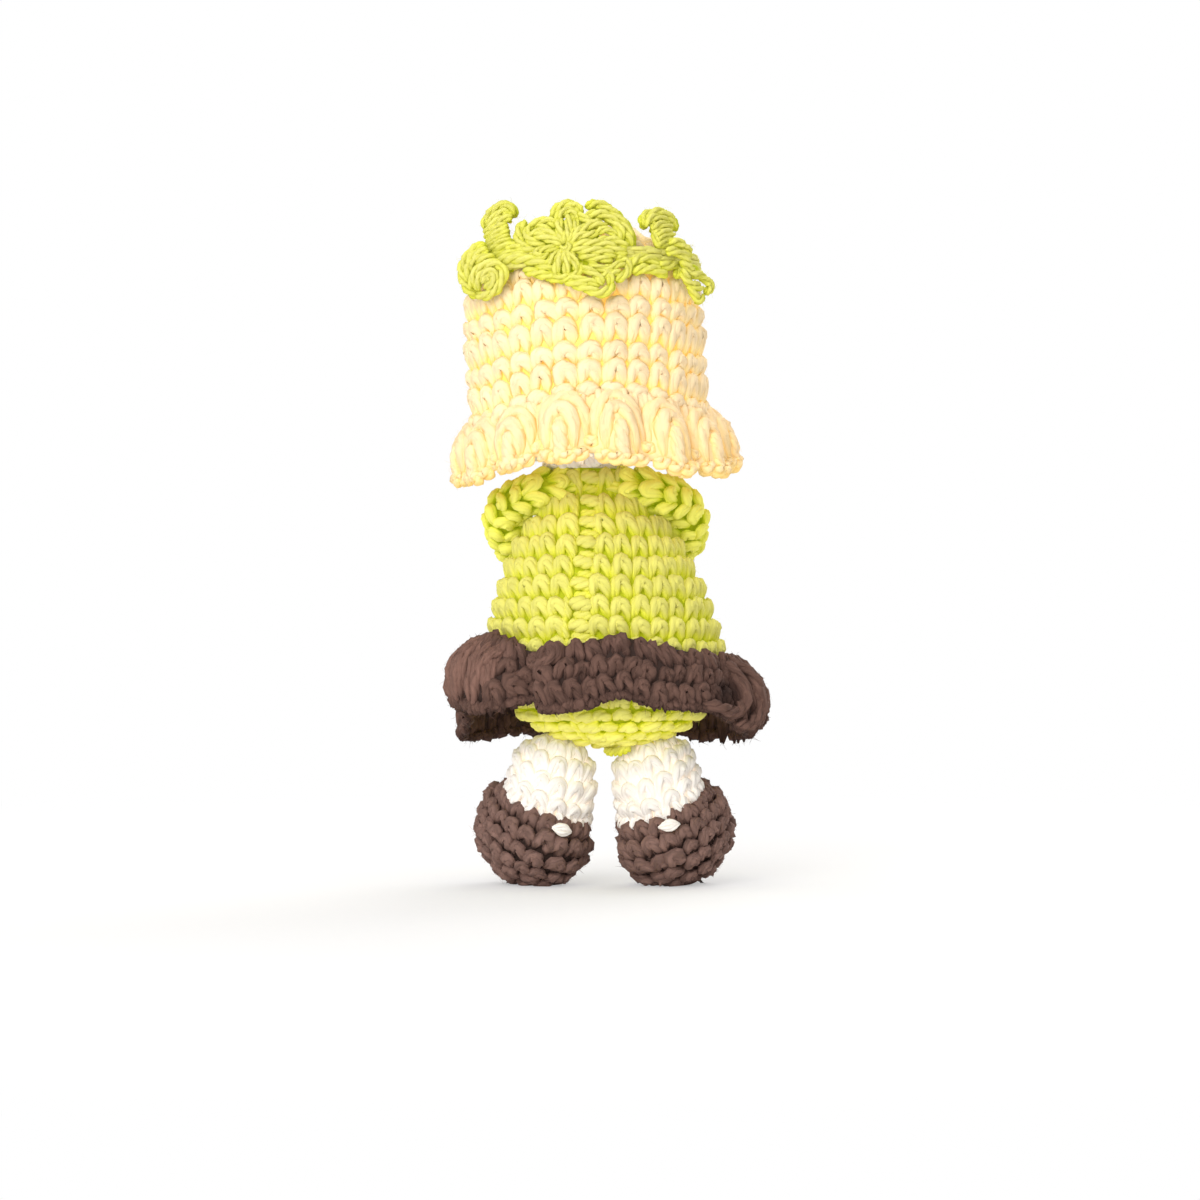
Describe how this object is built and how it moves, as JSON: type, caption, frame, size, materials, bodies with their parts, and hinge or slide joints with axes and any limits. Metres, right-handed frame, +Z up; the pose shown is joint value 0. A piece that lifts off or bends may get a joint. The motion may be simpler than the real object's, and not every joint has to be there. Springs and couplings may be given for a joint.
{
  "type": "crochet doll",
  "caption": "Small stuffed crochet doll that stands on its shoes: hat with scalloped brim and flower garland that lifts off, sleeves, waist ruffle, turning head, swinging arms and legs",
  "frame": {"origin": "on the floor under the middle of the doll's bounding box", "axes": "+Z up along the standing doll, the doll faces -Y, its left side is +X"},
  "size_m": [0.064, 0.061, 0.1292],
  "materials": {
    "lime_cotton": "matt crocheted cotton yarn",
    "yellow_cotton": "matt crocheted cotton yarn",
    "brown_wool": "fuzzy crocheted wool yarn",
    "cream_cotton": "matt crocheted cotton yarn",
    "fibrefill": "loose white polyester stuffing",
    "black_bead": "polished",
    "clear_washer": "moulded",
    "rose_thread": "matt embroidery thread"
  },
  "bodies": {
    "torso": {"body_cover": "lime_cotton", "body_stuffing": "fibrefill", "closing_tail": "lime_cotton", "waist_ruffle": "brown_wool"},
    "neck": {"neck_stuffing": "fibrefill"},
    "head": {"head_cover": "cream_cotton", "head_stuffing": "fibrefill", "eye_left": "black_bead", "eye_right": "black_bead", "eye_washer_left": "clear_washer", "eye_washer_right": "clear_washer", "mouth_stitch": "rose_thread"},
    "hat": {"hat_crown": "yellow_cotton", "hat_brim": "yellow_cotton", "garland_cord": "lime_cotton", "garland_flower": "lime_cotton", "leaf_up_left": "lime_cotton", "leaf_down_left": "lime_cotton", "leaf_up_right": "lime_cotton", "leaf_down_right": "lime_cotton"},
    "arm_left": {"sleeve_left": "lime_cotton", "hand_left": "cream_cotton", "arm_stuffing_left": "fibrefill"},
    "arm_right": {"sleeve_right": "lime_cotton", "hand_right": "cream_cotton", "arm_stuffing_right": "fibrefill"},
    "leg_left": {"leg_left": "cream_cotton", "shoe_left": "brown_wool", "leg_stuffing_left": "fibrefill", "shoe_stitch_left": "cream_cotton"},
    "leg_right": {"leg_right": "cream_cotton", "shoe_right": "brown_wool", "leg_stuffing_right": "fibrefill", "shoe_stitch_right": "cream_cotton"}
  },
  "joints": [
    {"name": "neck_nod", "type": "hinge", "parent": "torso", "child": "neck", "pos_m": [0.00329, 0.00079, 0.0773], "axis": [1, 0, 0], "range_deg": [-15, 15]},
    {"name": "neck_turn", "type": "hinge", "parent": "neck", "child": "head", "pos_m": [0.00329, 0.00079, 0.0773], "axis": [0.061, 0, 0.9981], "range_deg": [-30, 30]},
    {"name": "hat_lift", "type": "slide", "parent": "head", "child": "hat", "axis": [0.061, 0, 0.9981], "range_m": [0, 0.055]},
    {"name": "arm_swing_left", "type": "hinge", "parent": "torso", "child": "arm_left", "pos_m": [0.0168, 0.00079, 0.07423], "axis": [-1, 0, 0], "range_deg": [0, 45]},
    {"name": "arm_swing_right", "type": "hinge", "parent": "torso", "child": "arm_right", "pos_m": [-0.01068, 0.00079, 0.07423], "axis": [-1, 0, 0], "range_deg": [0, 45]},
    {"name": "leg_swing_left", "type": "hinge", "parent": "torso", "child": "leg_left", "pos_m": [0.01083, 0.00079, 0.0203], "axis": [-1, 0, 0], "range_deg": [-20, 45]},
    {"name": "leg_swing_right", "type": "hinge", "parent": "torso", "child": "leg_right", "pos_m": [-0.00837, 0.00079, 0.0203], "axis": [-1, 0, 0], "range_deg": [-20, 45]}
  ]
}
